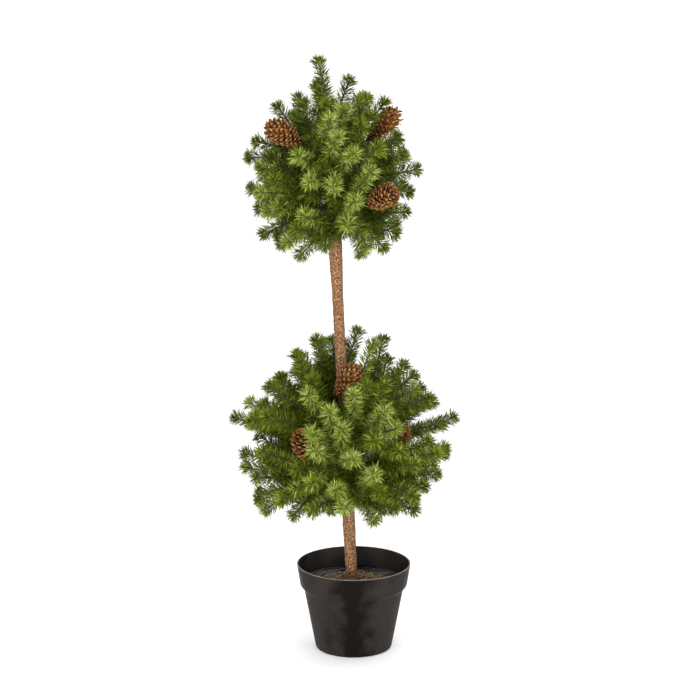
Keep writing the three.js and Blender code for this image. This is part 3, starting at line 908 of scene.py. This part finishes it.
def film_mesh():
    """The ring of glossy film at the wall, in wrinkled ridges round the fill."""
    rng = np.random.default_rng(FILM["seed"])
    share = np.linspace(0, 1, FILM["steps"])
    swell = 0.5 + 0.5 * np.sin(share * FILM["ridges"] * 2 * math.pi)
    wave = FILM["ridge_rise"] * swell ** FILM["ridge_power"] + FILM["slope"] * share
    spread = rng.normal(0, 1, (FILM["steps"], FILL["sides"]))
    wrinkle = FILM["wrinkle"] * smoothed(spread, FILM["blurs"])
    tops = FILL["level"] - FILM["sunk"] + wave[:, None] + wrinkle
    radius = lerp(fill_radius() - FILM["inset"], FILM["inner"], share)
    top = flat_circle(FILL["sides"])[None] * radius[:, None, None] + UP * tops[..., None]
    under = top[::-1] - UP * FILM["thickness"]
    return closed_ring(np.concatenate([top, under]))


def granule_mesh():
    """Loose granules on the fill round the trunk's foot."""
    rng = np.random.default_rng(GRANULE["seed"])
    count = GRANULE["count"]
    radius = np.sqrt(rng.uniform(GRANULE["inner"], 1, count)) * GRANULE["reach"]
    turn = rng.uniform(0, 2 * math.pi, count)
    size = rng.uniform(*GRANULE["sizes"], count)
    heap = np.interp(radius, [FILL["pad_radius"], FILL["heap_radius"]], [FILL["heap"], 0])
    height = FILL["level"] + heap + GRANULE["proud"] * size
    centre = np.stack([radius * np.cos(turn), radius * np.sin(turn), height], 1)
    foot = trunk_at(TRUNK_HEIGHTS[0])
    clear = np.linalg.norm((centre - foot)[:, :2], axis=1) > TRUNK_RADII[0] + size
    centre, size = centre[clear], size[clear]
    corners = np.array([(1, 0, 0), (0, 1, 0), (-1, 0, 0), (0, -1, 0), (0, 0, 1), (0, 0, -1)], float)
    faces = [(k, (k + 1) % 4, 4) for k in range(4)] + [((k + 1) % 4, k, 5) for k in range(4)]
    spin = unit(rng.normal(0, 1, (len(centre), 1, 3)))
    axis_turn = 2 * (corners[None] * spin).sum(-1, keepdims=True) * spin - corners[None]
    shape = axis_turn * rng.uniform(*GRANULE["stretch"], (len(centre), len(corners), 1))
    points = centre[:, None] + shape * size[:, None, None]
    copies = np.arange(len(centre))[:, None, None] * len(corners) + np.array(faces)[None]
    return points.reshape(-1, 3), copies.reshape(-1, 3)


def new_material(name, **values):
    """A material with some of its shader's own values set, and that shader."""
    material = bpy.data.materials.new(name)
    material.use_nodes = True
    shader = material.node_tree.nodes["Principled BSDF"]
    for socket, value in values.items():
        shader.inputs[socket.replace("_", " ")].default_value = value
    return material, shader


def pattern_of(material, kind, **settings):
    """A pattern fixed to the object, with some of its values set."""
    place = material.node_tree.nodes.new("ShaderNodeTexCoord")
    pattern = material.node_tree.nodes.new(kind)
    for socket, value in settings.items():
        pattern.inputs[socket.replace("_", " ")].default_value = value
    material.node_tree.links.new(place.outputs["Object"], pattern.inputs["Vector"])
    return pattern.outputs["Fac"]


def noise(material, per_metre, detail=3.0):
    """A noise pattern, with its number of waves to a metre."""
    return pattern_of(material, "ShaderNodeTexNoise", Scale=per_metre, Detail=detail)


def ramp(material, factor, *stops):
    """Colours along a pattern, each stop a place and a colour."""
    node = material.node_tree.nodes.new("ShaderNodeValToRGB")
    elements = node.color_ramp.elements
    while len(elements) < len(stops):
        elements.new(0.5)
    for element, (place, colour) in zip(elements, stops):
        element.position = place
        element.color = (*colour, 1)
    material.node_tree.links.new(factor, node.inputs["Fac"])
    return node.outputs["Color"]


def paint(material, shader, pattern, *stops):
    """Gives a shader the colours along a pattern."""
    material.node_tree.links.new(ramp(material, pattern, *stops), shader.inputs["Base Color"])


def bump(material, shader, height, strength, distance):
    """Relief in the shading from a pattern, with its depth in millimetres."""
    node = material.node_tree.nodes.new("ShaderNodeBump")
    node.inputs["Strength"].default_value = strength
    node.inputs["Distance"].default_value = distance * METRE
    material.node_tree.links.new(height, node.inputs["Height"])
    material.node_tree.links.new(node.outputs["Normal"], shader.inputs["Normal"])


def grey(level):
    return (level, level, level)


def needle_material(name, dark, light):
    """Soft film cut into needles, a little uneven in colour."""
    material, shader = new_material(name, Roughness=0.5, Specular_IOR_Level=0.12)
    paint(material, shader, noise(material, 240), (0.32, dark), (0.68, light))
    return material


def twig_material():
    """Twisted wire in dark olive tape."""
    material, shader = new_material("twig_tape", Roughness=0.7)
    pattern = noise(material, 320)
    paint(material, shader, pattern, (0.3, (0.020, 0.022, 0.008)), (0.7, (0.070, 0.055, 0.022)))
    bump(material, shader, pattern, 0.4, 0.4)
    return material


def bark_material():
    """Coarse tan grains glued on the trunk, dark in the hollows between them."""
    material, shader = new_material("trunk_grain", Roughness=0.9, Specular_IOR_Level=0.2)
    pattern = noise(material, 540, 2.0)
    paint(
        material,
        shader,
        pattern,
        (0.34, (0.024, 0.008, 0.003)),
        (0.46, (0.105, 0.048, 0.019)),
        (0.58, (0.215, 0.115, 0.055)),
        (0.70, (0.400, 0.248, 0.136)),
    )
    bump(material, shader, pattern, 0.7, 1.0)
    return material


def wood_material(name, dark, light):
    """Dry cone wood, mottled."""
    material, shader = new_material(name, Roughness=0.65, Specular_IOR_Level=0.1)
    pattern = noise(material, 260, 4.0)
    paint(material, shader, pattern, (0.3, dark), (0.72, light))
    bump(material, shader, pattern, 0.5, 0.5)
    return material


def flow_marks(material):
    """Broad upright bands, uneven, that paint light on the pot's flanks and shade across its middle."""
    return pattern_of(
        material,
        "ShaderNodeTexWave",
        Scale=3.1,
        Distortion=2.6,
        Detail=5.0,
        Detail_Scale=11.0,
        Detail_Roughness=0.6,
    )


def pot_material():
    """Moulded charcoal plastic with a fine tooth, and broad uneven upright bands of painted light on its
    flanks and painted shade across its middle.
    """
    material, shader = new_material("pot_plastic", Specular_IOR_Level=0.06)
    painted_light_bands = flow_marks(material)
    dark, light = (0.0034, 0.0024, 0.0018), (0.0175, 0.0144, 0.0121)
    # Painted light and shade: the bands run dark across the pot's middle and light on its flanks
    paint(material, shader, painted_light_bands, (0.15, dark), (0.95, light))
    gloss = ramp(material, painted_light_bands, (0.2, grey(0.42)), (0.8, grey(0.58)))
    material.node_tree.links.new(gloss, shader.inputs["Roughness"])
    bump(material, shader, noise(material, 900, 2.0), 0.12, 0.3)
    return material


def lip_material():
    """The same plastic, paler along the lip as a painted highlight."""
    material, shader = new_material("pot_lip", Roughness=0.45, Specular_IOR_Level=0.3)
    painted_lip_highlight = noise(material, 60, 4.0)
    # Painted highlight: the lip is far paler than the rest of the pot
    paint(material, shader, painted_lip_highlight, (0.3, (0.050, 0.044, 0.040)), (0.7, (0.150, 0.137, 0.128)))
    return material


def film_material():
    """Dark glossy film, wrinkled."""
    material, shader = new_material("fill_film", Roughness=0.14, Specular_IOR_Level=0.22)
    pattern = noise(material, 90, 3.0)
    paint(material, shader, pattern, (0.3, (0.003, 0.002, 0.002)), (0.75, (0.014, 0.012, 0.010)))
    bump(material, shader, pattern, 0.5, 0.9)
    return material


def fill_material(name, dark, light):
    """Dark golden-brown fibre in grains."""
    material, shader = new_material(name, Roughness=0.85)
    pattern = noise(material, 560, 3.0)
    paint(material, shader, pattern, (0.42, dark), (0.64, light))
    bump(material, shader, pattern, 0.8, 1.2)
    return material


def piece(name, skin, material, nodes, smooth=False):
    """A mesh in metres on the plant's one body, standing for its nodes of the part."""
    points, faces = skin
    mesh = bpy.data.meshes.new(name)
    mesh.from_pydata((points * METRE).tolist(), [], faces.tolist())
    mesh.polygons.foreach_set("use_smooth", np.full(len(faces), smooth))
    mesh.update()
    mesh.materials.append(material)
    made = bpy.data.objects.new(name, mesh)
    bpy.context.scene.collection.objects.link(made)
    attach(made, BODY)
    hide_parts(*nodes)
    return made


def deal_mixes(sprays, rng):
    """A mix of tints for each spray: its own where it has one, or else one dealt by share."""
    dealt = rng.choice(list(SPREAD_MIXES), size=len(sprays), p=list(SPREAD_MIXES.values()))
    return [spray.get("mix", str(mix)) for spray, mix in zip(sprays, dealt)]


def sort_by_tint(rows, mix, sorted_rows, rng):
    """Puts each needle with others of one tint, drawn by the shares of a mix."""
    drawn = rng.choice(len(TINTS), size=len(rows[0]), p=MIXES[mix])
    for k, tint in enumerate(TINTS):
        sorted_rows[tint].append([row[drawn == k] for row in rows])


def add_ball(ball, materials):
    """A ball's twigs, needles by tint, and cones."""
    rng = np.random.default_rng(ball["seed"])
    name = ball["name"]
    stems = stems_of(ball)
    cones = [cone_limbs(ball, cone, stems) for cone in ball["cones"]]
    sprays = that_fit(sprays_of(ball, stems), stems, cones)
    sprays += infill_sprays(ball, stems, cones, sprays)
    masses = [f"{name}_mass_{i + 1}" for i in range(ball["stems"]["count"])]
    if ball["crowned"]:
        masses.append(f"{name}_crown")
    piece(f"{name}_twigs", twig_mesh(stems, sprays), materials["twig"], masses, smooth=True)
    needles = {tint: [] for tint in TINTS}
    for spray, mix in zip(sprays, deal_mixes(sprays, rng)):
        sort_by_tint(spray_needles(spray, cones, rng), mix, needles, rng)
    for stem in stems:
        # Painted shade: stem needles deep round the trunk take the inner mix
        sort_by_tint(stem_needles(stem, cones, rng), "inner", needles, rng)
    for tint, groups in needles.items():
        rows = [np.concatenate(row) for row in zip(*groups)]
        piece(f"{name}_needles_{tint}", needle_mesh(*rows, rng), materials[tint], masses)
    fruit = [f"{name}_cone_{i + 1}" for i in range(len(cones))]
    frames = [scale_frames(cone) for cone in cones]
    scales = join([placed(*scale_template(), one) for one in frames])
    bosses = join([placed(*boss_template(), one) for one in frames])
    hearts = join([cone_core(cone) for cone in cones])
    piece(f"{name}_cone_hearts", hearts, materials["heart"], fruit, smooth=True)
    piece(f"{name}_cone_scales", scales, materials["scale"], fruit)
    piece(f"{name}_cone_bosses", bosses, materials["boss"], fruit)


def foliage_materials():
    """The materials of the needles by tint, the twigs and the cones."""
    made = {tint: needle_material(f"needles_{tint}", *shades) for tint, shades in TINTS.items()}
    made["twig"] = twig_material()
    # The hearts' near-black is painted shade between the scales
    made["heart"] = wood_material("cone_heart", (0.010, 0.004, 0.001), (0.034, 0.012, 0.004))
    made["scale"] = wood_material("cone_scale", (0.055, 0.018, 0.003), (0.225, 0.090, 0.020))
    made["boss"] = wood_material("cone_boss", (0.280, 0.132, 0.040), (0.640, 0.390, 0.180))
    return made


def add_pot():
    """The pot with the painted highlight on its lip, and the fill with its film and granules."""
    pot = piece("pot_moulding", pot_mesh(), pot_material(), ["pot"], smooth=True)
    pot.data.set_sharp_from_angle(angle=math.radians(SHARP_EDGE))
    piece("pot_lip", lip_mesh(), lip_material(), ["pot"], smooth=True)
    dark_fibre = fill_material("fill_fibre", (0.006, 0.003, 0.001), (0.045, 0.023, 0.008))
    piece("fill_plug", fill_mesh(), dark_fibre, ["fill"], smooth=True)
    piece("fill_film", film_mesh(), film_material(), ["fill"], smooth=True)
    gold_fibre = fill_material("fill_granules", (0.008, 0.004, 0.001), (0.600, 0.385, 0.170))
    piece("fill_granules", granule_mesh(), gold_fibre, ["fill"])


def add_floor():
    """A plain pale floor, turned up at its far edge so that it also closes a level view."""
    half = FLOOR["half"]
    mesh = bpy.data.meshes.new("floor")
    plan = [(-half, -half), (half, -half), (half, half), (-half, half)]
    corners = [(x, y, z) for z in (0, FLOOR["edge"]) for x, y in plan]
    faces = [(0, 1, 2, 3)]
    for k in range(4):
        ahead = (k + 1) % 4
        faces.append((ahead, k, k + 4, ahead + 4))
    mesh.from_pydata(corners, [], faces)
    material, shader = new_material("floor_paint", Roughness=0.9)
    paint(material, shader, noise(material, 3), (0.3, grey(0.97)), (0.7, grey(0.99)))
    mesh.materials.append(material)
    floor = bpy.data.objects.new("floor", mesh)
    bpy.context.scene.collection.objects.link(floor)


def add_sun(name, azimuth, elevation, spread, strength):
    """A soft light from far away, with its direction and spread in degrees."""
    data = bpy.data.lights.new(name, "SUN")
    data.angle = math.radians(spread)
    data.energy = strength
    light = bpy.data.objects.new(name, data)
    light.rotation_euler = (math.radians(90 - elevation), 0, math.radians(azimuth + 90))
    bpy.context.scene.collection.objects.link(light)


def add_softbox(name, place, target, size, power):
    """A square area light that faces a target, in metres and watts."""
    data = bpy.data.lights.new(name, "AREA")
    data.shape = "SQUARE"
    data.size = size
    data.energy = power
    light = bpy.data.objects.new(name, data)
    light.location = place
    aim = np.array(target) - np.array(place)
    yaw = math.atan2(aim[1], aim[0]) - math.pi / 2
    pitch = math.atan2(aim[2], math.hypot(aim[0], aim[1])) + math.pi / 2
    light.rotation_euler = (pitch, 0, yaw)
    bpy.context.scene.collection.objects.link(light)


def add_light():
    """Soft studio light: a bright room, a wide key in front, a fill behind and a softbox on each side."""
    world = bpy.data.worlds.new("studio")
    world.use_nodes = True
    background = world.node_tree.nodes["Background"]
    background.inputs["Color"].default_value = (1, 1, 1, 1)
    background.inputs["Strength"].default_value = ROOM_LIGHT
    bpy.context.scene.world = world
    for name, values in SUNS.items():
        add_sun(name, *values)
    for name, place in SOFTBOX_PLACES.items():
        add_softbox(name, place, **SOFTBOX)
    bpy.context.scene.view_settings.view_transform = "Standard"


def add_camera():
    """The camera at its fitted place, without roll."""
    data = bpy.data.cameras.new("camera")
    data.sensor_width = SENSOR
    data.lens = CAMERA_FOCUS_PIXELS / IMAGE_PIXELS * SENSOR
    camera = bpy.data.objects.new("camera", data)
    camera.location = [METRE * value for value in CAMERA_PLACE]
    camera.rotation_euler = (math.radians(90 - CAMERA_PITCH), 0, 0)
    bpy.context.scene.collection.objects.link(camera)
    bpy.context.scene.camera = camera


add_camera()
add_light()
add_floor()
add_pot()
piece("trunk_bark", trunk_mesh(), bark_material(), ["trunk"], smooth=True)
foliage = foliage_materials()
for ball in BALLS:
    add_ball(ball, foliage)
